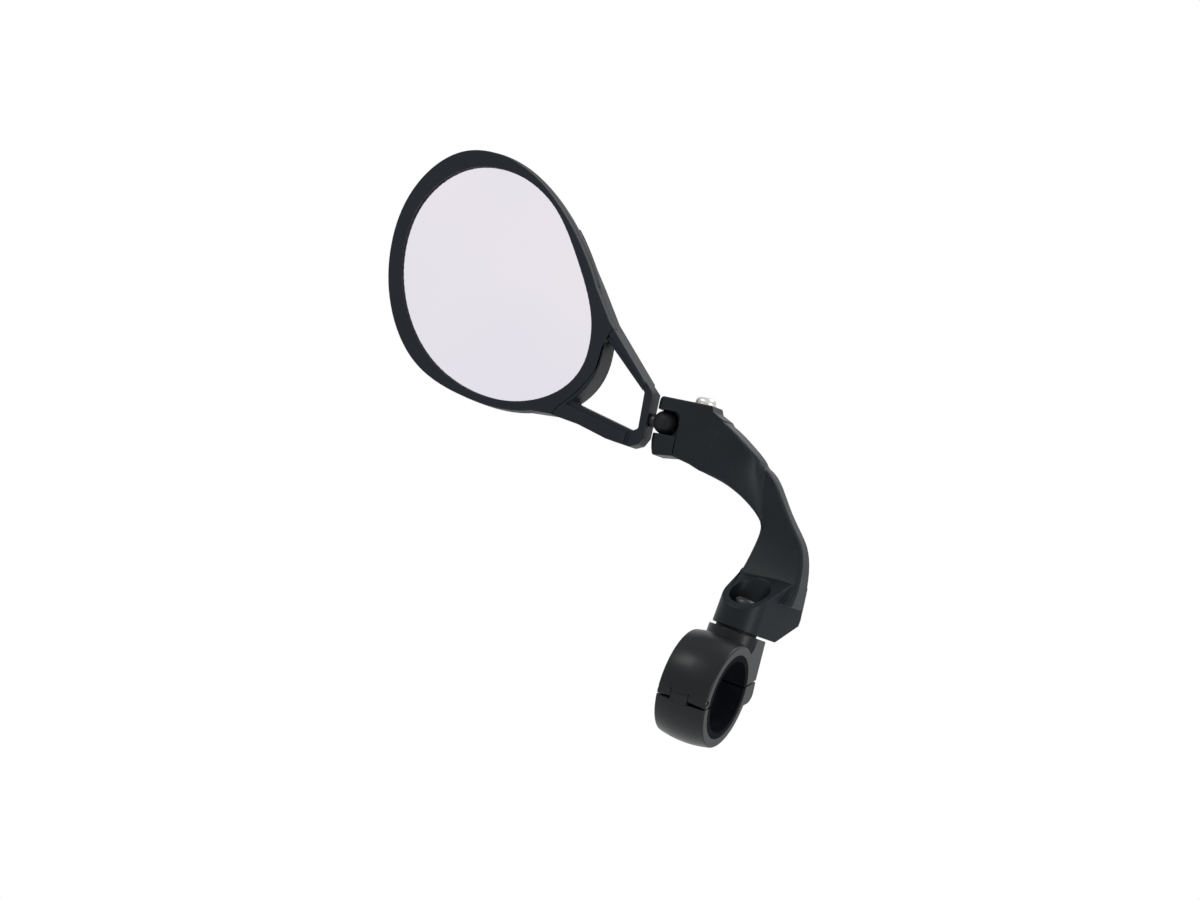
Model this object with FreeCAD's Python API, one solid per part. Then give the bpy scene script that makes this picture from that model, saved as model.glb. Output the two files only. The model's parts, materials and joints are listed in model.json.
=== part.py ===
import FreeCAD, Part
import math
import os

from FreeCAD import Vector

# Handlebar mirror, millimetres. X is the handlebar's axis, +Z the arm's swivel axis, and the
# mirror faces -Y. The origin is the centre of the clamp's bore, half way along the clamp.

# Handlebar clamp
bar_radius = 15.9          # standard 31.8 mm handlebar
shim_wall = 2.5
clamp_width = 23.0
ring_end_wall = 3.9        # ring outside the shims, at its end faces
ring_crown_wall = 5.4      # and half way along
split_tilt = 21.0          # degrees that the split plane rises towards +Y
split_gap = 0.8
pin_radius = 1.0
pin_inset = 0.6            # the pin's ends inside the ring's faces
knuckle_radius = 2.6       # the body's knuckles end at the split, the cap's rises above it
knuckle_clearance = 0.1    # from the knuckles to the shims' seat
tongue_from = -4.9         # the cap's knuckle, between the body's two
tongue_to = 3.1
hinge_gap = 0.25
edge_round = 1.0
lug_start = 12.0           # the cap's lug, square to the split plane
lug_past_screw = 4.6
lug_depth = 9.0
lug_round = 4.0
screw_past_seat = 5.0      # from the shims' seat to the clamp screw

# Swivel on the clamp
swivel_inside_seat = 4.9   # from the shims' seat in to the swivel's axis
platform_radius = 11.7
platform_above_seat = 8.5
platform_root = 12.0       # where the round post starts inside the ring
spacer_radius = 9.0
spacer_thickness = 1.0
foot_radius = 10.8
foot_heel_x = 17.6
foot_heel_y = 36.0
foot_back_x = -11.0
foot_height = 25.1         # up to where the arm has left the foot
heel_cut_y = 24.5          # the foot's underside rises from here to the heel
heel_cut_rise = 9.6
flank_rise = 11.8          # the heel's flank leans in from here, by flank_lean
flank_lean = 1.9
seat_above_foot = 9.1      # material under the pivot screw's washer
counterbore_radius = 8.0
rim_above_foot = 17.0      # sloping top face, on the swivel axis
rim_slope_x = 0.11
rim_slope_y = 0.778

# Screws: thread radius, and proportions of head, washer and insert
pivot_thread = 3.0
clamp_thread = 2.0
jaw_thread = 2.5
thread_clearance = 0.05
hole_clearance = 0.3
washer_clearance = 0.2
head_gap = 0.02            # between a screw's head and its washer
insert_wall = 1.1
insert_roof = 1.5          # wall between the pivot insert and the shims' seat
insert_length = 7.0
washer_thickness = 1.0
thin_washer = 0.6
washer_share = 1.9         # washer radius as a share of the thread's
pivot_washer_radius = 7.0
head_share = 1.75          # head radius
button_height_share = 1.1
button_hex_share = 1.3
button_hex_floor_share = 0.3
socket_hex_share = 1.5
socket_head_height = 3.2
head_recess = 3.4          # how deep the clamp screw's washer sits in the cap
core_share = 0.82          # thread's core radius as a share of the thread's

# Ball joint at the arm's end
ball_centre = Vector(-62.9, 20.0, 98.7)
tip_droop = 8.0            # degrees that the arm's tip points down
ball_radius = 5.1
ball_clearance = 0.1
liner_wall = 0.7
socket_clearance = 0.05
slot_half = 5.1            # half the height between finger and jaw
slot_depth = 7.75          # from the ball's centre to the slot's end
slot_round = 3.0
tip_reach = 3.7            # from the ball's centre to the arm's tip
arm_tip_thickness = 14.0
tip_narrow = 4.2           # half the tip's thickness at its very end
tip_narrow_to = -1.3
tip_top = 10.6
jaw_screw_reach = 15.1
jaw_boss_half = 5.6        # flat top past the jaw screw
jaw_seam = 0.25
jaw_foot = -12.4           # underside of the jaw's tongue
tongue_top = -5.0
tongue_half = 4.0
tongue_past_screw = 4.8
tongue_gap = 0.4
pan_window = 5.0           # half the height of the liner's neck slot
neck_radius = 2.9
stud_radius = 2.0
stud_foot_radius = 3.6
stud_root_radius = 2.2
stud_sunk = 2.4            # how far the stud's foot is moulded into the yoke
stud_foot_thickness = 1.2
rivet_radius = 3.0
rivet_recess_radius = 3.4
rivet_recess = 2.6
yoke_reach = 7.2           # from the ball's centre to the yoke

# Mirror head: the glass opening's edge as (x, z, share of the rim's width there)
glass_edge = [(-104.7, 115.0, 0.9), (-109.3, 98.4, 0.9), (-123.5, 87.4, 0.75), (-148.0, 83.6, 0.62),
              (-172.0, 91.3, 1.08), (-190.3, 109.5, 1.12), (-199.0, 131.0, 1.02), (-198.0, 153.0, 1.12),
              (-184.0, 171.3, 1.32), (-162.0, 175.9, 0.76), (-141.6, 168.6, 0.36), (-124.0, 151.5, 0.68),
              (-110.0, 132.5, 0.8)]
glass_middle = Vector(-152.0, 0, 130.0)
front_y = 13.0
rim_width = 5.7
bezel_depth = 4.5
bezel_spigot = 3.5         # how far the bezel's skirt reaches into the case
lip_cover = 1.8            # how far the bezel laps over the glass
glass_thickness = 2.0
glass_curve = 800.0        # radius of the convex glass
glass_recess = 0.3         # the glass's crown behind the bezel's face
pad_thickness = 1.0
pad_inset = 2.0
plate_thickness = 1.6
case_wall = 2.2
case_depth = 21.5          # from the bezel's face to the back of the bowl
yoke_back = 27.0
yoke_overlap = 2.0         # how far the yoke reaches into the bowl's wall
window_margin = 1.8        # yoke left between the window and the rim
window_round = 1.2
step_width = 1.9           # shallow step round the window, in the rails' front
step_depth = 1.1
neck_front_y = 15.2        # the yoke's bar beside the ball
neck_back_y = 24.8
neck_bar_x = -76.0
fit_gap = 0.1

# Outlines: the bowl as (share of its depth, inset), and the others as closed (x, z) corners
bowl_steps = [(0.0, 0.0), (0.27, 0.0), (0.52, 2.2), (0.76, 7.0), (0.93, 14.0), (1.0, 23.0)]
yoke_edge = [(-131.5, 163.0), (-111.3, 142.7), (-100.1, 130.7), (-75.0, 111.3), (-71.6, 108.8),
             (-68.9, 89.8), (-70.2, 86.2), (-73.5, 84.1), (-84.0, 83.9), (-98.0, 85.6), (-112.0, 85.6),
             (-132.0, 82.0), (-140.0, 100.0), (-140.0, 150.0)]
window_edge = [(-102.0, 125.4), (-75.4, 107.8), (-72.6, 92.6), (-74.6, 90.9), (-112.0, 94.5)]
parting_line = [(-94.5, 132.5), (-97.9, 127.0), (-99.2, 120.0), (-98.6, 111.5), (-100.9, 103.5),
                (-105.3, 95.0), (-109.2, 89.3), (-109.0, 80.0)]
rail_bevel_front = [(-112.0, 147.5), (-72.5, 106.5), (-60.0, 120.0), (-100.0, 160.0)]
rail_bevel_back = [(-112.0, 147.5), (-69.0, 109.5), (-56.0, 123.0), (-100.0, 160.0)]
rail_bevel_y = (10.0, 23.0)

# Values worked out from the sizes above
far = 60.0                 # beyond every part, for solids that only cut
seat_radius = bar_radius + shim_wall
ring_end_radius = seat_radius + ring_end_wall
ring_crown_radius = seat_radius + ring_crown_wall
pin_distance = seat_radius + knuckle_radius + knuckle_clearance
screw_distance = seat_radius + screw_past_seat
swivel_y = seat_radius - swivel_inside_seat
lug_end = screw_distance + lug_past_screw
platform_top = seat_radius + platform_above_seat
half_width = clamp_width / 2
foot_bottom = platform_top + spacer_thickness
foot_top = foot_bottom + foot_height
heel_height = foot_bottom + heel_cut_rise
rim_height = foot_bottom + rim_above_foot
pivot_seat = foot_bottom + seat_above_foot
pivot_head = pivot_seat + washer_thickness + head_gap
clamp_screw_seat = -split_gap / 2 - head_recess
clamp_screw_head = clamp_screw_seat - thin_washer - head_gap
jaw_washer_top = tip_top + 0.4
insert_top = split_gap / 2 + insert_length
insert_reach = swivel_y - pivot_thread - insert_wall
insert_bottom = math.sqrt(seat_radius ** 2 - insert_reach ** 2) + insert_roof
liner_radius = ball_radius + ball_clearance + liner_wall
socket_radius = liner_radius + socket_clearance
tip_half = arm_tip_thickness / 2
bezel_back = front_y + bezel_depth
case_back = front_y + case_depth
pin_reach = math.sqrt(pin_distance ** 2 - knuckle_radius ** 2)
pin_place = Vector(0, -pin_reach, knuckle_radius)
pin_place = FreeCAD.Rotation(Vector(1, 0, 0), split_tilt).multVec(pin_place)


def prism_y(points, y_from, y_to):
    """Straight-sided solid with its outline in XZ."""
    corners = [Vector(x, y_from, z) for x, z in points]
    face = Part.Face(Part.makePolygon(corners + corners[:1]))
    return face.extrude(Vector(0, y_to - y_from, 0))


def prism_x(points, x_from, x_to):
    """Straight-sided solid with its outline in YZ."""
    corners = [Vector(x_from, y, z) for y, z in points]
    face = Part.Face(Part.makePolygon(corners + corners[:1]))
    return face.extrude(Vector(x_to - x_from, 0, 0))


def prism_z(points, z_from, z_to):
    """Straight-sided solid with its outline in XY."""
    corners = [Vector(x, y, z_from) for x, y in points]
    face = Part.Face(Part.makePolygon(corners + corners[:1]))
    return face.extrude(Vector(0, 0, z_to - z_from))


def cylinder_z(radius, z_from, z_to, x=0.0, y=0.0):
    return Part.makeCylinder(radius, z_to - z_from, Vector(x, y, z_from))


def cylinder_x(radius, x_from, x_to, y=0.0, z=0.0):
    return Part.makeCylinder(radius, x_to - x_from, Vector(x_from, y, z), Vector(1, 0, 0))


def block(x_from, x_to, y_from, y_to, z_from, z_to):
    return Part.makeBox(x_to - x_from, y_to - y_from, z_to - z_from, Vector(x_from, y_from, z_from))


def hex_socket(across, z_from, z_to):
    corner = across / math.sqrt(3)
    turns = [math.radians(a) for a in range(0, 360, 60)]
    return prism_z([(corner * math.cos(t), corner * math.sin(t)) for t in turns], z_from, z_to)


def round_edges(shape, chosen, radius):
    return shape.makeFillet(radius, [e for e in shape.Edges if chosen(e)])


def runs_across(edge, axis):
    """True for an edge that lies in one plane square to the axis."""
    return getattr(edge.BoundBox, axis + "Length") < 0.01


def tilted(shape):
    """From the split plane's frame, +Z square to the split, to the clamp."""
    shape.rotate(Vector(0, 0, 0), Vector(1, 0, 0), split_tilt)
    return shape


def at_tip(shape):
    """From the ball's frame, +X into the arm and +Z along the jaw screw, to the arm's tip."""
    shape.rotate(Vector(0, 0, 0), Vector(0, 1, 0), -tip_droop)
    shape.translate(ball_centre)
    return shape


# ---- clamp ----

def barrel():
    """Crowned outside of the ring."""
    end_a = Vector(-half_width, 0, ring_end_radius)
    end_b = Vector(half_width, 0, ring_end_radius)
    crown = Part.Arc(end_a, Vector(0, 0, ring_crown_radius), end_b).toShape()
    down = Part.makePolygon([end_b, Vector(half_width, 0, 0), Vector(-half_width, 0, 0), end_a])
    face = Part.Face(Part.Wire([crown] + down.Edges))
    solid = face.revolve(Vector(0, 0, 0), Vector(1, 0, 0), 360)
    return round_edges(solid, lambda e: runs_across(e, "X"), edge_round)


def split_side(above):
    """Everything on one side of the split, half the gap away from it."""
    near = split_gap / 2
    z_from, z_to = (near, far) if above else (-far, -near)
    return tilted(block(-far, far, -far, far, z_from, z_to))


def knuckle(x_from, x_to, radius):
    return cylinder_x(radius, x_from, x_to, pin_place.y, pin_place.z)


def outer_knuckles(radius, gap):
    left = knuckle(-half_width, tongue_from - gap, radius)
    return left.fuse(knuckle(tongue_to + gap, half_width, radius))


def swing_room():
    """What the body gives up so that the cap's edge and tongue can swing round the pin."""
    corner = tilted(block(-far, far, -far, -pin_reach, -far, knuckle_radius))
    slot = tilted(block(tongue_from - hinge_gap / 2, tongue_to + hinge_gap / 2, -far,
                        -pin_reach + knuckle_radius + hinge_gap, -far, knuckle_radius))
    pocket = knuckle(tongue_from - hinge_gap / 2, tongue_to + hinge_gap / 2, knuckle_radius + hinge_gap)
    return [corner.cut(knuckle(-far, far, knuckle_radius)), slot, pocket]


def tongue():
    """The cap's knuckle on its web, flush with the ring."""
    web = tilted(block(tongue_from, tongue_to, -pin_reach - knuckle_radius, -pin_reach + knuckle_radius,
                       -split_gap, knuckle_radius))
    flush = web.fuse(knuckle(tongue_from, tongue_to, knuckle_radius)).common(barrel())
    return flush.cut(cylinder_x(seat_radius + knuckle_clearance, -far, far))


def saddle():
    """Wedge and round post that carry the swivel's platform."""
    low = [(1.43 * seat_radius, 0.49 * seat_radius), (0.76 * seat_radius, 0.22 * seat_radius),
           (0.16 * seat_radius, 0.54 * seat_radius)]
    top = [(swivel_y, platform_top), (1.14 * seat_radius, platform_top)]
    wedge = prism_x(top + low, -half_width, half_width).common(split_side(True))
    post = cylinder_z(platform_radius, platform_root, platform_top, 0, swivel_y)
    return [wedge, post.common(block(-half_width, half_width, -far, far, 0, far))]


def clamp_body():
    upper = barrel().common(split_side(True)).fuse(saddle()).removeSplitter()
    upper = upper.fuse(outer_knuckles(knuckle_radius, hinge_gap).common(barrel()))
    upper = upper.cut(swing_room())
    upper = upper.cut(cylinder_x(seat_radius, -far, far))
    upper = upper.cut(cylinder_z(pivot_thread + insert_wall, insert_bottom, far, 0, swivel_y))
    upper = upper.cut(tilted(cylinder_z(clamp_thread + insert_wall, 0, insert_top, 0, screw_distance)))
    return upper.cut(knuckle(-far, far, pin_radius)).removeSplitter()


def clamp_lug():
    lug = block(-half_width, half_width, lug_start, lug_end, -lug_depth, -split_gap / 2)
    lug = round_edges(lug, lambda e: runs_across(e, "Y") and e.BoundBox.XLength > 1
                      and e.CenterOfMass.z < -lug_depth / 2 and e.CenterOfMass.y > screw_distance, lug_round)
    return tilted(lug)


def clamp_cap():
    lower = barrel().common(split_side(False)).fuse(clamp_lug()).removeSplitter()
    lower = lower.cut(outer_knuckles(knuckle_radius + hinge_gap, -hinge_gap / 2)).fuse(tongue())
    lower = lower.cut(cylinder_x(seat_radius, -far, far))
    head_hole = cylinder_z(2 * clamp_thread + hole_clearance, -far, clamp_screw_seat, 0, screw_distance)
    shank_hole = cylinder_z(clamp_thread + hole_clearance, -far, 1, 0, screw_distance)
    lower = lower.cut([tilted(head_hole), tilted(shank_hole)])
    return lower.cut(knuckle(-far, far, pin_radius + thread_clearance)).removeSplitter()


def shim(above):
    half = cylinder_x(seat_radius, -half_width, half_width).cut(cylinder_x(bar_radius, -far, far))
    return half.common(split_side(above))


def hinge_pin():
    end_round = 0.3
    pin = knuckle(-half_width + pin_inset, half_width - pin_inset, pin_radius)
    return round_edges(pin, lambda e: runs_across(e, "X"), end_round)


def insert(thread, z_from, z_to, clearance=0.0):
    """Brass bush; its thread is a plain bore."""
    bush = cylinder_z(thread + insert_wall, z_from, z_to)
    return bush.cut(cylinder_z(thread + clearance, -far, far))


def pivot_insert():
    bush = insert(pivot_thread, insert_bottom, platform_top)
    bush.translate(Vector(0, swivel_y, 0))
    return bush


def clamp_insert():
    core_clearance = 0.15
    bush = insert(clamp_thread, split_gap / 2, insert_top, core_clearance)
    bush.translate(Vector(0, screw_distance, 0))
    return tilted(bush)


def washer(thread, radius, z_from, z_to):
    return cylinder_z(radius, z_from, z_to).cut(cylinder_z(thread + washer_clearance, -far, far))


def clamp_washer():
    ring = washer(clamp_thread, washer_share * clamp_thread, clamp_screw_seat - thin_washer, clamp_screw_seat)
    ring.translate(Vector(0, screw_distance, 0))
    return tilted(ring)


def clamp_screw():
    """Socket screw; its thread is drawn at the core, so the cap can swing with it in place."""
    foot = clamp_screw_head - socket_head_height
    socket_depth = 2.0
    head_round = 0.4
    core_top = insert_top - 2.4
    head = cylinder_z(head_share * clamp_thread, foot, clamp_screw_head)
    head = round_edges(head, lambda e: e.CenterOfMass.z < foot + head_round, head_round)
    shank = cylinder_z(clamp_thread, foot + socket_head_height / 2, -split_gap / 2)
    core = cylinder_z(core_share * clamp_thread, -split_gap, core_top)
    screw = head.fuse([shank, core])
    screw = screw.cut(hex_socket(socket_hex_share * clamp_thread, foot - 1, foot + socket_depth))
    screw.translate(Vector(0, screw_distance, 0))
    return tilted(screw.removeSplitter())


# ---- swivel ----

def swivel_spacer():
    ring = cylinder_z(spacer_radius, platform_top, foot_bottom, 0, swivel_y)
    return ring.cut(cylinder_z(pivot_thread + hole_clearance, 0, far, 0, swivel_y))


def pivot_washer():
    rim = 0.25
    ring = cylinder_z(pivot_washer_radius, pivot_seat, pivot_seat + washer_thickness, 0, swivel_y)
    ring = round_edges(ring, lambda e: e.CenterOfMass.z > pivot_seat + washer_thickness - rim, rim)
    return ring.cut(cylinder_z(pivot_thread + washer_clearance, 0, far, 0, swivel_y))


def button_screw(thread, tip, under_head):
    """Button head above a plain shank, standing on the Z axis."""
    height = button_height_share * thread
    crown = 0.75 * height
    tip_bevel = 0.5
    head = cylinder_z(head_share * thread, under_head, under_head + height)
    head = round_edges(head, lambda e: e.CenterOfMass.z > under_head + height - 0.1, crown)
    shank = cylinder_z(thread - thread_clearance, tip, under_head)
    shank = shank.makeChamfer(tip_bevel, [e for e in shank.Edges if e.CenterOfMass.z < tip + 0.01
                                          and len(e.Vertexes) == 1])
    floor = under_head + button_hex_floor_share * height
    screw = head.fuse(shank).cut(hex_socket(button_hex_share * thread, floor, under_head + 3 * height))
    return screw.removeSplitter()


def pivot_screw():
    tip_clearance = 0.6
    screw = button_screw(pivot_thread, insert_bottom + tip_clearance, pivot_head)
    screw.translate(Vector(0, swivel_y, 0))
    return screw


# ---- arm ----

def arm_section(inner, outer, y_front, y_back, bevel=1.2):
    """Bevelled four-sided section between the arm's inner and outer edge, each an (x, z)."""
    low = Vector(inner[0], 0, inner[1])
    high = Vector(outer[0], 0, outer[1])
    along = (high - low).normalize()
    start = low + along * bevel
    finish = high - along * bevel
    front = Vector(0, y_front, 0)
    back = Vector(0, y_back, 0)
    step = Vector(0, bevel, 0)
    ring = [start + front, finish + front, high + front + step, high + back - step,
            finish + back, start + back, low + back - step, low + front + step]
    return Part.makePolygon(ring + ring[:1])


def foot_plan():
    """Round at the swivel, drawn out to a heel behind it."""
    reach = Vector(foot_heel_x, foot_heel_y - swivel_y, 0)
    turn = math.atan2(reach.y, reach.x) - math.acos(foot_radius / reach.Length)
    cheek = (foot_radius * math.cos(turn), swivel_y + foot_radius * math.sin(turn))
    plan = [cheek, (foot_heel_x, foot_heel_y), (foot_back_x, foot_heel_y), (-foot_radius, swivel_y)]
    wedge = prism_z(plan, foot_bottom, far)
    return wedge.fuse(cylinder_z(foot_radius, foot_bottom, far, 0, swivel_y)).removeSplitter()


def arm_foot():
    under = foot_bottom - 1
    heel = [(heel_cut_y, under), (heel_cut_y, foot_bottom), (foot_heel_y, heel_height), (far, heel_height),
            (far, under)]
    slope = [(y, rim_height + rim_slope_y * (y - swivel_y)) for y in (-far, far)]
    above = prism_x([slope[0], slope[1], (-far, slope[1][1])], -far, far)
    above.rotate(Vector(0, swivel_y, rim_height), Vector(0, 1, 0), -math.degrees(math.atan(rim_slope_x)))
    flank = foot_bottom + flank_rise
    narrow = foot_heel_x - flank_lean
    outside = prism_y([(foot_heel_x, flank), (narrow, foot_top), (narrow, far + far), (far, far + far),
                       (far, flank)], -far, far)
    foot = foot_plan().cut([prism_x(heel, -far, far), above, outside])
    return foot.common(block(-far, far, -far, far, 0, foot_top))


def tip_side():
    """Side of the arm's end in the ball's frame: finger, boss round the jaw screw, and heel."""
    return [(-tip_reach, 0), (-tip_reach, tip_top), (jaw_screw_reach + jaw_boss_half, tip_top), (21.6, 8.2),
            (27.0, 5.6), (20.8, -17.1), (15.8, -15.3), (slot_depth, -13.4), (slot_depth, 0)]


def arm_tip():
    nose_round = 2.0
    flank_round = 0.6
    tip = prism_y(tip_side(), -tip_half, tip_half)
    tip = round_edges(tip, lambda e: e.BoundBox.YLength > tip_half and e.CenterOfMass.z > tip_top - 0.1
                      and e.CenterOfMass.x < 0, nose_round)
    tip = round_edges(tip, lambda e: abs(abs(e.CenterOfMass.y) - tip_half) < 0.01
                      and e.CenterOfMass.x < 20, flank_round)
    return tip.cut(tip_narrowing())


def tip_hollows():
    """Slot for the ball, pocket for the jaw's tongue and hole for the jaw screw."""
    slot = block(-20, slot_depth, -far, far, -far, slot_half)
    slot = round_edges(slot, lambda e: e.BoundBox.YLength > 10 and e.CenterOfMass.z > 0
                       and e.CenterOfMass.x > 0, slot_round)
    pocket_end = jaw_screw_reach + tongue_past_screw + 1.5 * tongue_gap
    pocket_half = tongue_half + tongue_gap
    pocket = block(slot_depth - 1, pocket_end, -pocket_half, pocket_half, -far, tongue_top)
    hole = cylinder_z(jaw_thread + hole_clearance, -far, far, jaw_screw_reach)
    return slot.fuse([pocket, hole, Part.makeSphere(socket_radius)])


def tip_narrowing():
    """Plan of the tip is narrowed so the yoke can turn round it."""
    end = -tip_reach - 4
    out = tip_half + 5
    side = prism_z([(end, tip_narrow), (-tip_reach, tip_narrow), (tip_narrow_to, tip_half),
                    (tip_narrow_to, out), (end, out)], -far, far)
    return [side, side.mirror(Vector(0, 0, 0), Vector(0, 1, 0))]


def arm_beam():
    """Curved beam from the tip to the foot, in two lofts that meet at its diagonal crease."""
    crease = ((-10.5, 72.3), (-16.6, 95.2), 25.5, 35.0)
    upper = [((-42.3, 85.1), (-39.4, 107.6), 13.02, 26.98, 0.8), ((-39.9, 84.75), (-36.8, 107.2), 13.1, 27.1, 0.8),
             ((-33.6, 84.0), (-29.3, 104.2), 13.8, 28.2), ((-27.6, 82.9), (-22.8, 100.5), 16.2, 30.4),
             ((-19.5, 79.6), (-18.8, 97.4), 20.6, 32.9), crease]
    lower = [crease, ((-10.3, 70.9), (-8.9, 89.3), 26.3, 35.6), ((-10.2, 69.0), (-0.6, 80.0), 26.6, 36.0),
             ((-10.1, 65.5), (8.8, 70.8), 26.2, 36.3), ((-10.2, 60.5), (13.2, 62.8), 25.2, 36.4),
             ((-10.6, 52.5), (15.9, 53.0), 23.0, 36.2), ((-11.2, 44.0), (17.4, 44.0), 18.5, 36.0)]
    lofts = [Part.makeLoft([arm_section(*s) for s in run], True, False) for run in (upper, lower)]
    return lofts[0].fuse(lofts[1])


def arm():
    whole = arm_beam().fuse([arm_foot(), at_tip(arm_tip())])
    whole = whole.cut(at_tip(tip_hollows()))
    whole = whole.cut(cylinder_z(counterbore_radius, pivot_seat, far + far, 0, swivel_y))
    whole = whole.cut(cylinder_z(pivot_thread + hole_clearance, 0, far, 0, swivel_y))
    return whole.removeSplitter()


# ---- ball joint ----

def ball_jaw():
    """Lower jaw with its tongue under the jaw screw, in the ball's frame."""
    right = slot_depth - jaw_seam
    side = [(-tip_reach, -slot_half), (right, -slot_half), (right, -13.4), (-0.9, -14.4), (-2.6, -11.5),
            (-tip_reach, -8.0)]
    jaw = prism_y(side, -tip_half, tip_half).cut(tip_narrowing())
    jaw = jaw.fuse(block(right - 1, jaw_screw_reach + tongue_past_screw, -tongue_half, tongue_half,
                         jaw_foot, tongue_top - tongue_gap))
    jaw = jaw.cut(Part.makeSphere(socket_radius))
    jaw = jaw.cut(cylinder_z(jaw_thread + insert_wall, jaw_foot, 0, jaw_screw_reach))
    return at_tip(jaw.removeSplitter())


def jaw_insert():
    bush = insert(jaw_thread, jaw_foot, tongue_top - tongue_gap)
    bush.translate(Vector(jaw_screw_reach, 0, 0))
    return at_tip(bush)


def jaw_washer():
    ring = washer(jaw_thread, washer_share * jaw_thread, tip_top, jaw_washer_top)
    ring.translate(Vector(jaw_screw_reach, 0, 0))
    return at_tip(ring)


def jaw_screw():
    past_insert = 0.8
    screw = button_screw(jaw_thread, jaw_foot - past_insert, jaw_washer_top + head_gap)
    screw.translate(Vector(jaw_screw_reach, 0, 0))
    return at_tip(screw)


def ball_liner():
    """Slotted sleeve round the ball, which turns sideways with the neck."""
    shell = Part.makeSphere(liner_radius).cut(Part.makeSphere(ball_radius + ball_clearance))
    slot_from = -1.5
    slot_side = neck_radius + washer_clearance
    return at_tip(shell.cut(block(-20, slot_from, -slot_side, slot_side, -pan_window, pan_window)))


def pivot_ball():
    ball = Part.makeSphere(ball_radius)
    ball = ball.cut(cylinder_x(stud_radius + thread_clearance, -20, 20))
    return at_tip(ball.cut(cylinder_x(rivet_recess_radius, ball_radius - rivet_recess, 20)))


def stud_shape():
    """Stud through the ball, riveted over at one end and moulded into the yoke at the other."""
    foot = -yoke_reach - stud_sunk
    rivet = ball_radius - rivet_recess
    shank = cylinder_x(stud_radius, -yoke_reach, rivet + 0.4)
    head = cylinder_x(rivet_radius, rivet + 0.1, rivet + 1.4)
    collar = cylinder_x(neck_radius, -yoke_reach, -ball_radius + 0.3)
    root = cylinder_x(stud_root_radius, foot, -yoke_reach)
    plate = cylinder_x(stud_foot_radius, foot, foot + stud_foot_thickness)
    return shank.fuse([head, collar, root, plate]).removeSplitter()


def ball_stud():
    return at_tip(stud_shape())


# ---- mirror head ----

def egg(grow, y):
    """The glass opening's outline, moved outwards by grow, as a closed curve at height y."""
    points = [Vector(x, 0, z) for x, z, share in glass_edge]
    shares = [share for x, z, share in glass_edge]
    moved = []
    for i, point in enumerate(points):
        tangent = (points[(i + 1) % len(points)] - points[i - 1]).normalize()
        outward = Vector(-tangent.z, 0, tangent.x)
        if outward.dot(point - glass_middle) < 0:
            outward = outward * -1
        spot = point + outward * (max(grow, 0) * shares[i] + min(grow, 0))
        moved.append(Vector(spot.x, y, spot.z))
    curve = Part.BSplineCurve()
    curve.interpolate(Points=moved, PeriodicFlag=True)
    return Part.Wire([curve.toShape()])


def egg_prism(grow, y_from, y_to):
    return Part.Face(egg(grow, y_from)).extrude(Vector(0, y_to - y_from, 0))


def yoke_outline(y_from, y_to):
    """Triangular frame that joins the mirror to the ball."""
    return prism_y(yoke_edge, y_from, y_to)


def window():
    """Opening through the yoke, beside the bowl."""
    hole = prism_y(window_edge, -far, far)
    hole = round_edges(hole, lambda e: e.BoundBox.YLength > far and e.CenterOfMass.x > -80, window_round)
    return hole.cut(egg_prism(rim_width + window_margin, -far, far))


def window_step():
    corners = [Vector(x, front_y - 1, z) for x, z in window_edge]
    outline = Part.Face(Part.makePolygon(corners + corners[:1])).makeOffset2D(step_width)
    step = outline.extrude(Vector(0, 1 + step_depth, 0))
    return step.cut(egg_prism(rim_width + window_margin, -far, far))


def beyond_bezel(gap):
    """The yoke's side of the parting line between bezel and case."""
    low, high, right = 80.0, 140.0, -40.0
    line = [(x + gap, z) for x, z in parting_line]
    curve = Part.BSplineCurve()
    curve.interpolate(Points=[Vector(x, 0, z) for x, z in line])
    corners = [line[-1], (right, low), (right, high), (line[0][0], high), line[0]]
    close = Part.makePolygon([Vector(x, 0, z) for x, z in corners])
    return Part.Face(Part.Wire([curve.toShape()] + close.Edges)).extrude(Vector(0, far, 0))


def head_plan(y_from, y_to):
    return egg_prism(rim_width, y_from, y_to).fuse(yoke_outline(y_from, y_to)).removeSplitter()


def bowl(shrink, back):
    """Domed back of the case."""
    depth = back - bezel_back
    rings = [egg(rim_width - shrink - inset, bezel_back + depth * part) for part, inset in bowl_steps]
    return Part.makeLoft(rings, True, False)


def rail_bevels():
    """Long bevel on the front of the upper rail."""
    rings = []
    for edge, y in zip((rail_bevel_front, rail_bevel_back), rail_bevel_y):
        corners = [Vector(x, y, z) for x, z in edge]
        rings.append(Part.makePolygon(corners + corners[:1]))
    return Part.makeLoft(rings, True, True)


def near_ball():
    """Slims the yoke's bar in depth beside the ball."""
    bar = [(neck_bar_x, 70), (0, 70), (0, 130), (neck_bar_x, 130)]
    return [prism_y(bar, 0, neck_front_y), prism_y(bar, neck_back_y, far)]


def rear_case():
    yoke = yoke_outline(front_y, yoke_back).cut(egg_prism(rim_width - yoke_overlap, 0, far))
    yoke = yoke.cut(head_plan(front_y - 1, bezel_back).cut(beyond_bezel(0)))
    case = bowl(0, case_back).fuse(yoke)
    case = case.cut(bowl(case_wall, case_back - case_wall))
    case = case.cut([window(), window_step()])
    case = case.cut(rail_bevels())
    case = case.cut(near_ball())
    return case.cut(at_tip(stud_shape())).removeSplitter()


def glass_ball(inset):
    """Ball whose near side is the mirror's surface, inset behind it."""
    centre = Vector(glass_middle.x, front_y + glass_recess + glass_curve, glass_middle.z)
    return Part.makeSphere(glass_curve - inset, centre, Vector(0, 0, 1))


def curved_sheet(grow, front_inset, thickness):
    sheet = egg_prism(grow, front_y - 1, case_back)
    return sheet.common(glass_ball(front_inset)).cut(glass_ball(front_inset + thickness))


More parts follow.
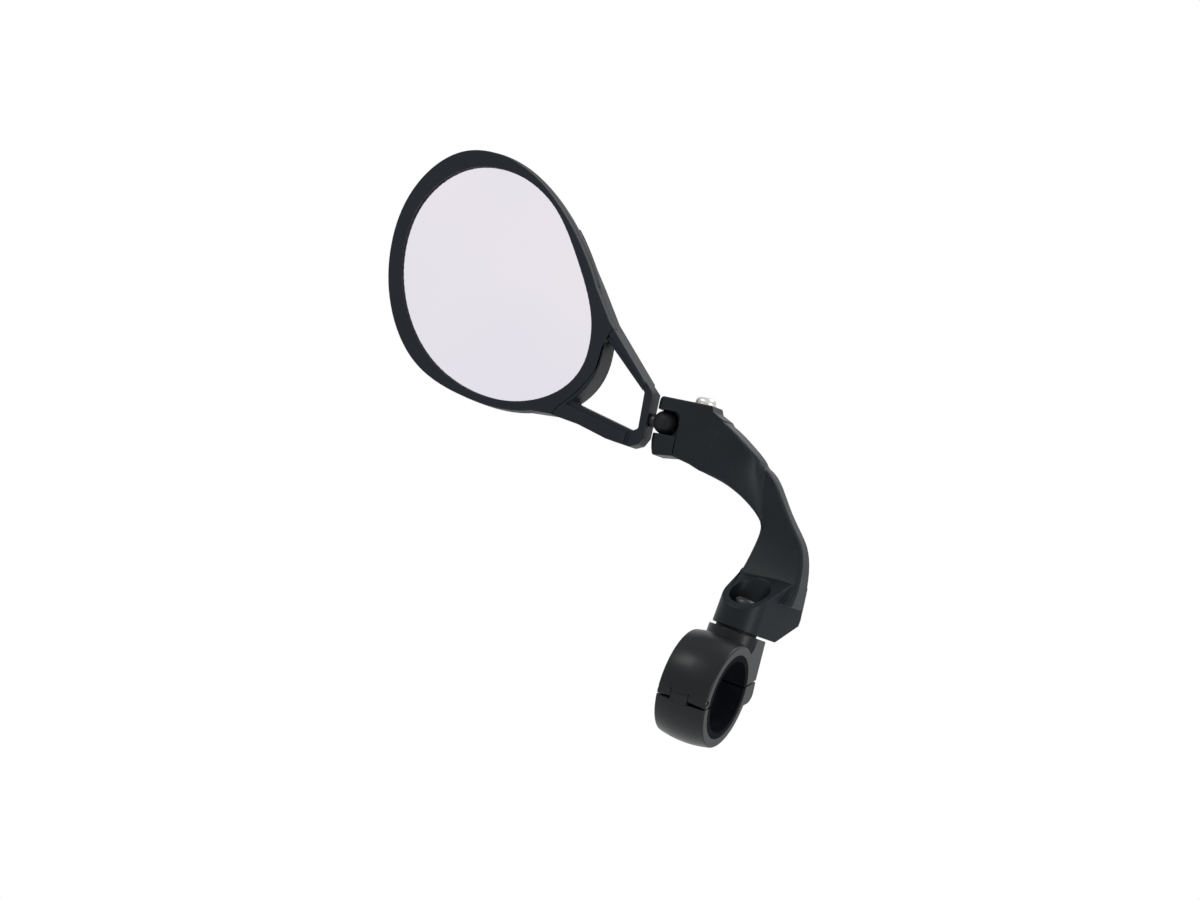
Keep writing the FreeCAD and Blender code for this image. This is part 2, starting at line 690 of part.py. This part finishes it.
def bezel():
    ring = head_plan(front_y, bezel_back).cut(beyond_bezel(-fit_gap))
    skirt = egg_prism(rim_width - case_wall - 3 * fit_gap, bezel_back, bezel_back + bezel_spigot)
    ring = ring.fuse(skirt).cut(egg_prism(0, 0, far))
    ring = ring.cut(egg_prism(lip_cover + fit_gap, 0, far).common(glass_ball(0)))
    return ring.cut(rail_bevels()).removeSplitter()


def mirror_glass():
    return curved_sheet(lip_cover, 0, glass_thickness)


def glass_pad():
    return curved_sheet(-pad_inset, glass_thickness, pad_thickness)


def backing_plate():
    return curved_sheet(lip_cover, glass_thickness + pad_thickness, plate_thickness)


pieces = {
    "clamp_body": clamp_body,
    "clamp_cap": clamp_cap,
    "upper_shim": lambda: shim(True),
    "lower_shim": lambda: shim(False),
    "hinge_pin": hinge_pin,
    "pivot_insert": pivot_insert,
    "clamp_insert": clamp_insert,
    "clamp_washer": clamp_washer,
    "clamp_screw": clamp_screw,
    "swivel_spacer": swivel_spacer,
    "pivot_washer": pivot_washer,
    "pivot_screw": pivot_screw,
    "arm": arm,
    "ball_jaw": ball_jaw,
    "jaw_insert": jaw_insert,
    "jaw_washer": jaw_washer,
    "jaw_screw": jaw_screw,
    "ball_liner": ball_liner,
    "pivot_ball": pivot_ball,
    "ball_stud": ball_stud,
    "rear_case": rear_case,
    "bezel": bezel,
    "mirror_glass": mirror_glass,
    "glass_pad": glass_pad,
    "backing_plate": backing_plate,
}

os.makedirs("parts", exist_ok=True)
for name, make in pieces.items():
    shape = make()
    box = shape.BoundBox
    state = "valid" if shape.isValid() else "NOT VALID"
    corners = [round(v, 1) for v in (box.XMin, box.YMin, box.ZMin, box.XMax, box.YMax, box.ZMax)]
    print(name, len(shape.Solids), "solid(s)", state, round(shape.Volume), "mm3", corners)
    shape.exportStep("parts/" + name + ".step")
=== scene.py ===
import json
import math

import bmesh
import bpy
from mathutils import Matrix, Vector
from mathutils.bvhtree import BVHTree


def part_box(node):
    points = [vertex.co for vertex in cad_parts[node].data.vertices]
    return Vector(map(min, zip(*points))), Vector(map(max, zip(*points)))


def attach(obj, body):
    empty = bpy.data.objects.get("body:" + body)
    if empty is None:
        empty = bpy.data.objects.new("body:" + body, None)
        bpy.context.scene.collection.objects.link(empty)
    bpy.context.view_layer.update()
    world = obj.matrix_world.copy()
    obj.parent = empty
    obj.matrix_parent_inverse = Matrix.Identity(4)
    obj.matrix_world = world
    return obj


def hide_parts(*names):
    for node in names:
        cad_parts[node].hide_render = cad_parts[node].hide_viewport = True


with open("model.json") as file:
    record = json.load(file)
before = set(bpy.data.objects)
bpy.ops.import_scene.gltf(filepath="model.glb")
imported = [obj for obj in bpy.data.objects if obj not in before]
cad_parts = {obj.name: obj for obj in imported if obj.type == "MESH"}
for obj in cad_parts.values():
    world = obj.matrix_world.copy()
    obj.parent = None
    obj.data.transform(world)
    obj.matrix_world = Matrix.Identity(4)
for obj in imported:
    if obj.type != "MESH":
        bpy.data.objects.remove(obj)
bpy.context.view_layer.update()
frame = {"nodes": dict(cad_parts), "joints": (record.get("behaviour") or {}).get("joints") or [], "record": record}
record = frame["record"]
bodyOf = {node: body for body, nodes in record["behaviour"]["bodies"].items() for node in nodes}
slotOf = {part["node"]: part["material_slot"] for part in record["subparts"]}
jointNamed = {joint["name"]: joint for joint in frame["joints"]}
mm = 0.001


# shader maths: a Field is one socket, and an expression on Fields adds its nodes

class Field:
    def __init__(self, look, socket):
        self.look = look
        self.socket = socket

    def __add__(self, other):
        return self.look.maths("ADD", self, other)

    def __sub__(self, other):
        return self.look.maths("SUBTRACT", self, other)

    def __mul__(self, other):
        return self.look.maths("MULTIPLY", self, other)

    def __rsub__(self, other):
        return self.look.maths("SUBTRACT", other, self)

    __radd__ = __add__
    __rmul__ = __mul__


class Look:
    def __init__(self, name):
        self.material = bpy.data.materials.new(name)
        self.material.use_nodes = True
        self.tree = self.material.node_tree
        self.tree.nodes.clear()
        self.place = self.add("ShaderNodeTexCoord", output="Object")

    # settings are set first, then each socket takes a value or a Field
    def add(self, kind, settings=None, sockets=None, output=0):
        node = self.tree.nodes.new(kind)
        for key, value in (settings or {}).items():
            setattr(node, key, value)
        for key, value in (sockets or {}).items():
            if isinstance(value, Field):
                self.tree.links.new(value.socket, node.inputs[key])
            else:
                node.inputs[key].default_value = value
        return Field(self, node.outputs[output]) if node.outputs else None  # the output node has none

    def maths(self, operation, a, b):
        return self.add("ShaderNodeMath", {"operation": operation}, {0: a, 1: b})

    # 0 up to low, 1 from high on
    def clamped(self, value, low, high):
        return self.add("ShaderNodeMapRange", {}, {"Value": value, "From Min": low, "From Max": high})

    def noise(self, scale, detail=4.0, rough=0.55, where=None):
        return self.add("ShaderNodeTexNoise", {"noise_dimensions": "3D"},
                        {"Vector": where or self.place, "Scale": scale, "Detail": detail, "Roughness": rough})

    # noise at a scale of its own along x, y and z
    def streaks(self, scales, detail, rough):
        where = self.add("ShaderNodeMapping", {}, {"Vector": self.place, "Scale": scales})
        return self.noise(1.0, detail, rough, where)

    def blend(self, share, a, b):
        colours = [c if isinstance(c, Field) else (*c, 1.0) for c in (a, b)]
        return self.add("ShaderNodeMix", {"data_type": "RGBA"}, {0: share, 6: colours[0], 7: colours[1]}, 2)

    # 1 along outer edges, 0 elsewhere: how far a rounded normal leans from the face's own
    def edges(self, radius, leanFrom=0.01, leanTo=0.12):
        rounded = self.add("ShaderNodeBevel", {"samples": 4}, {"Radius": radius})
        own = self.add("ShaderNodeNewGeometry", output="Normal")
        facing = self.add("ShaderNodeVectorMath", {"operation": "DOT_PRODUCT"}, {0: rounded, 1: own}, 1)
        return self.clamped(1 - facing, leanFrom, leanTo)

    def bump(self, height, distance, strength):
        return self.add("ShaderNodeBump", {}, {"Height": height, "Distance": distance, "Strength": strength})

    def finish(self, sockets):
        shader = self.add("ShaderNodeBsdfPrincipled", {}, sockets)
        self.add("ShaderNodeOutputMaterial", {}, {"Surface": shader})
        return self.material


# what all the plastics share: pits finer than the grain, soft clouds, and wear in patches along the edges
plasticSkin = dict(
    grainDetail=3.0, grainRough=0.6, pitsPerGrain=2.7, pitDetail=2.0, grainHeight=0.7, pitHeight=0.3,
    cloudDetail=5.0, cloudFrom=0.3, cloudTo=0.7, smearDetail=4.0, smearRough=0.6,
    wearDetail=6.0, wearFrom=0.42, wearTo=0.66, grainGloss=0.06, wearGloss=0.08)


def mouldedPlastic(name, own):
    s = plasticSkin | own
    look = Look(name)
    grain = look.noise(s["grainScale"], s["grainDetail"], s["grainRough"])
    pits = look.noise(s["grainScale"] * s["pitsPerGrain"], s["pitDetail"])
    clouds = look.noise(s["cloudScale"], s["cloudDetail"])
    smears = look.streaks(s["smear"], s["smearDetail"], s["smearRough"])
    patches = look.clamped(look.noise(s["wearScale"], s["wearDetail"]), s["wearFrom"], s["wearTo"])
    edgeMask = look.edges(s["wearRadius"]) * patches
    colour = look.blend(look.clamped(clouds, s["cloudFrom"], s["cloudTo"]), s["dark"], s["light"])
    rough = s["rough"] + (smears - 0.5) * s["roughSpread"] + (grain - 0.5) * s["grainGloss"]
    height = grain * s["grainHeight"] + pits * s["pitHeight"]
    return look.finish({
        "Base Color": look.blend(edgeMask * s["wearShare"], colour, s["wornColour"]),
        "Roughness": rough - edgeMask * s["wearGloss"],
        "Specular IOR Level": s["specular"],
        "Coat Weight": s["coat"],
        "Coat Roughness": s["coatRough"],
        "Normal": look.bump(height, s["grainDepth"], s["grainStrength"]),
    })


caseGrain = mouldedPlastic("caseGrain", dict(
    dark=(0.0036, 0.0058, 0.0090), light=(0.0056, 0.0084, 0.0120), wornColour=(0.020, 0.023, 0.027),
    rough=0.50, roughSpread=0.14, specular=0.15, coat=0.0, coatRough=0.3,
    grainScale=2600.0, grainDepth=0.00006, grainStrength=0.55, cloudScale=45.0, smear=(60.0, 60.0, 22.0),
    wearRadius=0.0006, wearScale=260.0, wearShare=0.55))
armSatin = mouldedPlastic("armSatin", dict(
    dark=(0.0032, 0.0052, 0.0072), light=(0.0050, 0.0076, 0.0100), wornColour=(0.022, 0.025, 0.028),
    rough=0.44, roughSpread=0.16, specular=0.14, coat=0.0, coatRough=0.3,
    grainScale=2300.0, grainDepth=0.00004, grainStrength=0.45, cloudScale=38.0, smear=(30.0, 30.0, 80.0),
    wearRadius=0.0006, wearScale=240.0, wearShare=0.6))
clampGloss = mouldedPlastic("clampGloss", dict(
    dark=(0.0030, 0.0042, 0.0052), light=(0.0046, 0.0060, 0.0072), wornColour=(0.020, 0.021, 0.023),
    rough=0.37, roughSpread=0.12, specular=0.155, coat=0.04, coatRough=0.25,
    grainScale=1700.0, grainDepth=0.00003, grainStrength=0.30, cloudScale=55.0, smear=(90.0, 30.0, 30.0),
    wearRadius=0.0006, wearScale=300.0, wearShare=0.6))
nylonMatt = mouldedPlastic("nylonMatt", dict(
    dark=(0.0030, 0.0040, 0.0052), light=(0.0052, 0.0066, 0.0082), wornColour=(0.020, 0.022, 0.024),
    rough=0.52, roughSpread=0.12, specular=0.14, coat=0.0, coatRough=0.3,
    grainScale=1900.0, grainDepth=0.00004, grainStrength=0.40, cloudScale=90.0, smear=(50.0, 50.0, 50.0),
    wearRadius=0.0004, wearScale=320.0, wearShare=0.5))
plateMatt = mouldedPlastic("plateMatt", dict(
    dark=(0.0090, 0.0090, 0.0095), light=(0.0140, 0.0140, 0.0150), wornColour=(0.03, 0.03, 0.03),
    rough=0.6, roughSpread=0.10, specular=0.26, coat=0.0, coatRough=0.3,
    grainScale=900.0, grainDepth=0.00005, grainStrength=0.50, cloudScale=40.0, smear=(20.0, 20.0, 20.0),
    wearRadius=0.0004, wearScale=200.0, wearShare=0.4))
print("plastics made")


# what the lining and the foam share: faint ribs across x, and dust in patches
softSkin = dict(
    ribWaver=0.15, ribDetail=1.0, skinDetail=5.0, skinRough=0.65, skinHeight=0.4, skinGloss=0.2,
    dustDetail=6.0, dustFrom=0.48, dustTo=0.72, dustShare=0.6, strength=0.6)


def rubber(name, own):
    s = softSkin | own
    look = Look(name)
    ribs = look.add("ShaderNodeTexWave", {"wave_type": "BANDS", "bands_direction": "X", "wave_profile": "SIN"},
                    {"Vector": look.place, "Scale": s["ribScale"], "Distortion": s["ribWaver"],
                     "Detail": s["ribDetail"]}, 1)
    skin = look.noise(s["skinScale"], s["skinDetail"], s["skinRough"])
    dust = look.clamped(look.noise(s["dustScale"], s["dustDetail"]), s["dustFrom"], s["dustTo"])
    height = skin * s["skinHeight"] + ribs * s["ribShare"]
    return look.finish({
        "Base Color": look.blend(dust * s["dustShare"], s["dark"], s["dusty"]),
        "Roughness": s["rough"] + (skin - 0.5) * s["skinGloss"],
        "Specular IOR Level": s["specular"],
        "Normal": look.bump(height, s["depth"], s["strength"]),
    })


shimRubber = rubber("shimRubber", dict(
    dark=(0.0022, 0.0026, 0.0040), dusty=(0.0055, 0.0062, 0.0082), rough=0.82, specular=0.04,
    ribScale=160.0, ribShare=0.5, skinScale=1500.0, dustScale=120.0, depth=0.00008))
foamPad = rubber("foamPad", dict(
    dark=(0.02, 0.02, 0.022), dusty=(0.05, 0.05, 0.055), rough=0.9, specular=0.1,
    ribScale=40.0, ribShare=0.05, skinScale=2600.0, dustScale=300.0, depth=0.0002))
print("rubber and foam made")


# what the metals share: fine turning marks, tarnish in patches, and bright edges that are a painted highlight
turnedSkin = dict(
    layDetail=3.0, layRough=0.7, layGloss=0.22, strength=0.35, depth=0.00002,
    tarnishDetail=6.0, tarnishFrom=0.45, tarnishTo=0.75, tarnishGloss=0.10, edgeRadius=0.0004, edgeHighlightShare=0.5)


def turnedMetal(name, own):
    s = turnedSkin | own
    look = Look(name)
    rings = look.streaks(s["lay"], s["layDetail"], s["layRough"])
    tarnish = look.clamped(look.noise(s["tarnishScale"], s["tarnishDetail"]), s["tarnishFrom"], s["tarnishTo"])
    # painted highlight: every edge is blended towards the lighter edge colour, standing in for the glint that
    # edges catch
    edgeMask = look.edges(s["edgeRadius"])
    colour = look.blend(tarnish * s["tarnishShare"], s["bright"], s["dull"])
    return look.finish({
        "Base Color": look.blend(edgeMask * s["edgeHighlightShare"], colour, s["edge"]),
        "Metallic": 1.0,
        "Roughness": s["rough"] + (rings - 0.5) * s["layGloss"] + tarnish * s["tarnishGloss"],
        "Anisotropic": s["anisotropic"],
        "Normal": look.bump(rings, s["depth"], s["strength"]),
    })


# edge: the colour of the painted highlight along every edge
stainless = turnedMetal("stainless", dict(
    bright=(0.60, 0.585, 0.56), dull=(0.36, 0.34, 0.32), edge=(0.80, 0.79, 0.77), rough=0.26,
    lay=(900.0, 900.0, 2600.0), tarnishScale=420.0, tarnishShare=0.55, anisotropic=0.35))
brass = turnedMetal("brass", dict(
    bright=(0.66, 0.48, 0.20), dull=(0.34, 0.23, 0.09), edge=(0.80, 0.62, 0.30), rough=0.32,
    lay=(700.0, 700.0, 2200.0), tarnishScale=360.0, tarnishShare=0.6, anisotropic=0.2))
blackSteel = turnedMetal("blackSteel", dict(
    bright=(0.040, 0.041, 0.044), dull=(0.020, 0.020, 0.022), edge=(0.10, 0.10, 0.10), rough=0.38,
    lay=(900.0, 900.0, 2600.0), tarnishScale=420.0, tarnishShare=0.6, anisotropic=0.2))
print("metals made")


lensCoating = dict(
    cool=(0.775, 0.745, 0.815), warm=(0.822, 0.785, 0.820), speck=(0.70, 0.68, 0.71), rough=0.02,
    driftScale=9.0, driftDetail=2.0, driftRough=0.4, driftFrom=0.35, driftTo=0.65,
    hazeScale=70.0, hazeDetail=5.0, hazeRough=0.6, hazeFrom=0.45, hazeTo=0.80, hazeGloss=0.02,
    speckScale=900.0, speckDetail=2.0, speckFrom=0.70, speckTo=0.80, speckShare=0.25, speckGloss=0.05,
    coat=0.3, coatRough=0.02, depth=0.000002, strength=0.1)


def silvered(name, s):
    look = Look(name)
    drift = look.noise(s["driftScale"], s["driftDetail"], s["driftRough"])
    haze = look.clamped(look.noise(s["hazeScale"], s["hazeDetail"], s["hazeRough"]), s["hazeFrom"], s["hazeTo"])
    specks = look.clamped(look.noise(s["speckScale"], s["speckDetail"]), s["speckFrom"], s["speckTo"])
    colour = look.blend(look.clamped(drift, s["driftFrom"], s["driftTo"]), s["cool"], s["warm"])
    return look.finish({
        "Base Color": look.blend(specks * s["speckShare"], colour, s["speck"]),
        "Metallic": 1.0,
        "Roughness": s["rough"] + haze * s["hazeGloss"] + specks * s["speckGloss"],
        "Coat Weight": s["coat"],
        "Coat Roughness": s["coatRough"],
        "Normal": look.bump(haze, s["depth"], s["strength"]),
    })


lensSilver = silvered("lensSilver", lensCoating)
print("lens finish made")

looksBySlot = {
    "case_black": caseGrain, "arm_black": armSatin, "clamp_black": clampGloss, "plate_black": plateMatt,
    "spacer_nylon": nylonMatt, "shim_rubber": shimRubber, "foam_pad": foamPad, "mirror": lensSilver,
    "stainless": stainless, "brass": brass, "black_steel": blackSteel}
for nodeName, nodeObject in frame["nodes"].items():  # every CAD node gets its finish too
    nodeObject.data.materials.clear()
    nodeObject.data.materials.append(looksBySlot[slotOf[nodeName]])


# finish is a slot, and the node's own where none is given
def placed(pieceName, mesh, standsFor, finish=None):
    finish = finish or slotOf[standsFor]
    piece = bpy.data.objects.new(pieceName, mesh)
    bpy.context.scene.collection.objects.link(piece)
    mesh.materials.clear()
    mesh.materials.append(looksBySlot[finish])
    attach(piece, bodyOf[standsFor])
    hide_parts(standsFor)
    return piece


def meshOf(work, name, creaseAngle):
    mesh = bpy.data.meshes.new(name)
    work.to_mesh(mesh)
    work.free()
    mesh.shade_smooth()
    mesh.set_sharp_from_angle(angle=math.radians(creaseAngle))
    return mesh


merging = dict(doubles=0.002 * mm, slivers=0.004 * mm, flatAngle=0.3)


def mergedCopy(nodeName):
    work = bmesh.new()
    work.from_mesh(frame["nodes"][nodeName].data)
    bmesh.ops.remove_doubles(work, verts=work.verts, dist=merging["doubles"])
    bmesh.ops.dissolve_degenerate(work, edges=work.edges, dist=merging["slivers"])
    bmesh.ops.dissolve_limit(work, angle_limit=math.radians(merging["flatAngle"]), verts=work.verts,
                             edges=work.edges)
    return work


# lengths here are in eases: how far round a spot left sharp stays sharp, and how far off the skin is stray
easing = dict(tries=12, keepAway=1.5, strayFrom=0.75, flatWeight=90)


def easedSettings(node, ease, steps=2, sharpFrom=28.0, crease=40.0, finish=None):
    return dict(node=node, ease=ease, steps=steps, sharpFrom=sharpFrom, crease=crease, finish=finish)


def easeSharpEdges(work, s, leftSharp):
    nearLeft = s["ease"] * easing["keepAway"]
    sharp = []
    for edge in work.edges:
        if len(edge.link_faces) != 2 or edge.calc_face_angle(0) < math.radians(s["sharpFrom"]):
            continue
        if any((end.co - place).length < nearLeft for end in edge.verts for place in leftSharp):
            continue
        sharp.append(edge)
    bmesh.ops.bevel(work, geom=sharp, offset=s["ease"], offset_type="OFFSET", segments=s["steps"], profile=0.5,
                    affect="EDGES", clamp_overlap=False, material=-1, loop_slide=True)
    return len(sharp)


# a CAD node with its sharp edges eased; where that throws points off the skin, the edges near stay sharp
def easedMesh(s):
    leftSharp = []
    for attempt in range(easing["tries"]):
        work = mergedCopy(s["node"])
        skin = BVHTree.FromBMesh(work)
        eased = easeSharpEdges(work, s, leftSharp)
        stray = {v for v in work.verts if skin.find_nearest(v.co)[3] > s["ease"] * easing["strayFrom"]}
        if not stray:
            print(s["node"], "eased edges", eased, "tries", attempt + 1)
            return work
        border = {edge.other_vert(v) for v in stray for edge in v.link_edges} - stray
        leftSharp += [v.co.copy() for v in border]
        work.free()
    print(s["node"], "left sharp")
    return mergedCopy(s["node"])


def easedCopy(pieceName, s):
    piece = placed(pieceName, meshOf(easedMesh(s), pieceName, s["crease"]), s["node"], s["finish"])
    weighted = piece.modifiers.new("flatFaces", "WEIGHTED_NORMAL")
    weighted.keep_sharp = True
    weighted.weight = easing["flatWeight"]


easedPieces = {
    "clampRing": easedSettings("clamp_body", 0.30 * mm, 3),
    "clampGate": easedSettings("clamp_cap", 0.30 * mm, 3),
    "upperLiner": easedSettings("upper_shim", 0.25 * mm),
    "lowerLiner": easedSettings("lower_shim", 0.25 * mm),
    "hingePin": easedSettings("hinge_pin", 0.10 * mm),
    "swivelRing": easedSettings("swivel_spacer", 0.12 * mm),
    "armShell": easedSettings("arm", 0.45 * mm, 3),
    "lowerJaw": easedSettings("ball_jaw", 0.40 * mm, 3),
    "ballSleeve": easedSettings("ball_liner", 0.12 * mm),
    "turningBall": easedSettings("pivot_ball", 0.15 * mm),
    "rearShell": easedSettings("rear_case", 0.45 * mm, 3),
    "frontBezel": easedSettings("bezel", 0.45 * mm, 3),
    "ballStud": easedSettings("ball_stud", 0.20 * mm),
    "swivelBush": easedSettings("pivot_insert", 0.12 * mm),
    "clampBush": easedSettings("clamp_insert", 0.12 * mm),
    "jawBush": easedSettings("jaw_insert", 0.12 * mm),
    "clampScrewWasher": easedSettings("clamp_washer", 0.10 * mm),
    "swivelWasher": easedSettings("pivot_washer", 0.08 * mm),
    "jawScrewWasher": easedSettings("jaw_washer", 0.08 * mm),
    "clampScrewBody": easedSettings("clamp_screw", 0.10 * mm),
    "swivelScrewBody": easedSettings("pivot_screw", 0.10 * mm, finish="black_steel"),
    "jawScrewBody": easedSettings("jaw_screw", 0.10 * mm),
    "foamSheet": easedSettings("glass_pad", 0.15 * mm),
    "backPlate": easedSettings("backing_plate", 0.20 * mm),
}
for pieceName, settings in easedPieces.items():
    easedCopy(pieceName, settings)


# the lens keeps its CAD shape; its front takes a true sphere's normals, so what it mirrors isn't faceted
lens = dict(node="mirror_glass", curve=800.0 * mm, frontFacing=-0.9, crease=30.0)


def lensPiece(s):
    low, high = (Vector(corner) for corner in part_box(s["node"]))
    centre = Vector(((low.x + high.x) / 2, low.y + s["curve"], (low.z + high.z) / 2))
    mesh = meshOf(mergedCopy(s["node"]), "mirrorLens", s["crease"])
    normals = [face.normal.copy() for face in mesh.polygons for corner in face.loop_indices]
    for face in mesh.polygons:
        if face.normal.y < s["frontFacing"]:
            for corner in face.loop_indices:
                spot = mesh.vertices[mesh.loops[corner].vertex_index].co
                normals[corner] = (spot - centre).normalized()
    mesh.normals_split_custom_set(normals)
    placed("mirrorLens", mesh, s["node"])
    print("lens made")


lensPiece(lens)


# black lip inside the arm's slot, behind the ball, that closes the slot's two corners
socketLip = dict(pivot="head_nod", slotFor="arm", inner=5.96 * mm, outer=8.7 * mm, halfDepth=1.8 * mm,
                 halfArc=62.0, steps=28, jawLine=-4.95 * mm, droop=8.0, crease=35.0)


def makeSocketLip(s):
    centre = Vector(jointNamed[s["pivot"]]["pos_m"])
    turn = Matrix.Rotation(math.radians(-s["droop"]), 4, "Y")
    work = bmesh.new()
    corners = [(s["inner"], -s["halfDepth"]), (s["outer"], -s["halfDepth"]),
               (s["outer"], s["halfDepth"]), (s["inner"], s["halfDepth"])]
    start = Matrix.Rotation(math.radians(s["halfArc"]), 3, "Y")
    face = work.faces.new([work.verts.new(start @ Vector((reach, depth, 0.0))) for reach, depth in corners])
    bmesh.ops.spin(work, geom=[face, *face.edges, *face.verts], axis=(0.0, 1.0, 0.0), cent=(0.0, 0.0, 0.0),
                   angle=-2 * math.radians(s["halfArc"]), steps=s["steps"], use_merge=False)
    bmesh.ops.bisect_plane(work, geom=[*work.verts, *work.edges, *work.faces], clear_outer=True,
                           plane_co=(0.0, 0.0, s["jawLine"]), plane_no=(0.0, 0.0, -1.0))
    bmesh.ops.holes_fill(work, edges=[edge for edge in work.edges if edge.is_boundary])
    bmesh.ops.recalc_face_normals(work, faces=work.faces)
    bmesh.ops.transform(work, matrix=Matrix.Translation(centre) @ turn, verts=work.verts)
    lip = bpy.data.objects.new("socketLip", meshOf(work, "socketLip", s["crease"]))
    bpy.context.scene.collection.objects.link(lip)
    lip.data.materials.append(nylonMatt)
    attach(lip, bodyOf[s["slotFor"]])
    print("socket lip made")


makeSocketLip(socketLip)


# studio: pale floor and soft white surroundings
floorPaint = dict(height=-0.46, half=1.25, squares=4, crease=30.0, colour=(0.93, 0.93, 0.93),
                  paler=(0.95, 0.95, 0.95), cloudScale=3.0, cloudDetail=3.0, rough=0.9, specular=0.1,
                  depth=0.0002, strength=0.1)


def makeFloor(s):
    look = Look("floorPaint")
    clouds = look.noise(s["cloudScale"], s["cloudDetail"])
    look.finish({
        "Base Color": look.blend(clouds, s["colour"], s["paler"]),
        "Roughness": s["rough"],
        "Specular IOR Level": s["specular"],
        "Normal": look.bump(clouds, s["depth"], s["strength"]),
    })
    work = bmesh.new()
    bmesh.ops.create_grid(work, x_segments=s["squares"], y_segments=s["squares"], size=s["half"],
                          matrix=Matrix.Translation((0.0, 0.0, s["height"])))
    floor = bpy.data.objects.new("studioFloor", meshOf(work, "studioFloor", s["crease"]))
    floor.data.materials.append(look.material)
    bpy.context.scene.collection.objects.link(floor)


makeFloor(floorPaint)

surroundings = dict(colour=(1.0, 1.0, 1.0), strength=1.0)
world = bpy.data.worlds.new("softWhite")
world.use_nodes = True
background = world.node_tree.nodes["Background"]
background.inputs["Color"].default_value = (*surroundings["colour"], 1.0)
background.inputs["Strength"].default_value = surroundings["strength"]
bpy.context.scene.world = world

softboxes = {
    "keyBox": dict(at=(-0.55, -0.75, 0.75), to=(-0.03, 0.0, 0.03), size=(0.35, 0.35), power=4.0,
                   colour=(1.0, 0.99, 0.96)),
    "topBox": dict(at=(0.35, 0.45, 1.1), to=(-0.06, 0.02, 0.09), size=(0.7, 0.4), power=7.0,
                   colour=(0.97, 0.98, 1.0)),
    "sideBox": dict(at=(1.0, -0.35, 0.05), to=(0.0, 0.02, 0.05), size=(0.3, 0.6), power=5.0,
                    colour=(0.97, 0.98, 1.0)),
}


def softbox(name, s):
    light = bpy.data.lights.new(name, "AREA")
    light.shape = "RECTANGLE"
    light.size, light.size_y = s["size"]
    light.energy = s["power"]
    light.color = s["colour"]
    box = bpy.data.objects.new(name, light)
    bpy.context.scene.collection.objects.link(box)
    box.location = s["at"]
    aim = Vector(s["to"]) - Vector(s["at"])
    box.rotation_euler = aim.to_track_quat("-Z", "Y").to_euler()


for boxName, boxSettings in softboxes.items():
    softbox(boxName, boxSettings)


# a level camera, to the right of the glass and rolled; a long lens keeps the view nearly flat
view = dict(azimuth=20.5, roll=20.0, lens=400.0, sensor=36.0, width=0.504, target=(-0.0858, 0.017, 0.0786),
            clipStart=0.05, clipEnd=50.0)


def makeCamera(s):
    azimuth = math.radians(s["azimuth"])
    roll = math.radians(s["roll"])
    back = Vector((math.sin(azimuth), -math.cos(azimuth), 0.0))
    level = Vector((math.cos(azimuth), math.sin(azimuth), 0.0))
    rise = Vector((0.0, 0.0, 1.0))
    right = level * math.cos(roll) + rise * math.sin(roll)
    up = rise * math.cos(roll) - level * math.sin(roll)
    distance = s["width"] * s["lens"] / s["sensor"]
    data = bpy.data.cameras.new("studioCamera")
    data.lens = s["lens"]
    data.sensor_width = s["sensor"]
    data.clip_start, data.clip_end = s["clipStart"], s["clipEnd"]
    camera = bpy.data.objects.new("studioCamera", data)
    bpy.context.scene.collection.objects.link(camera)
    turned = Matrix((right, up, back)).transposed().to_4x4()
    camera.matrix_world = Matrix.Translation(Vector(s["target"]) + back * distance) @ turned
    bpy.context.scene.camera = camera


makeCamera(view)
bpy.context.scene.view_settings.view_transform = "Standard"
print("studio made")
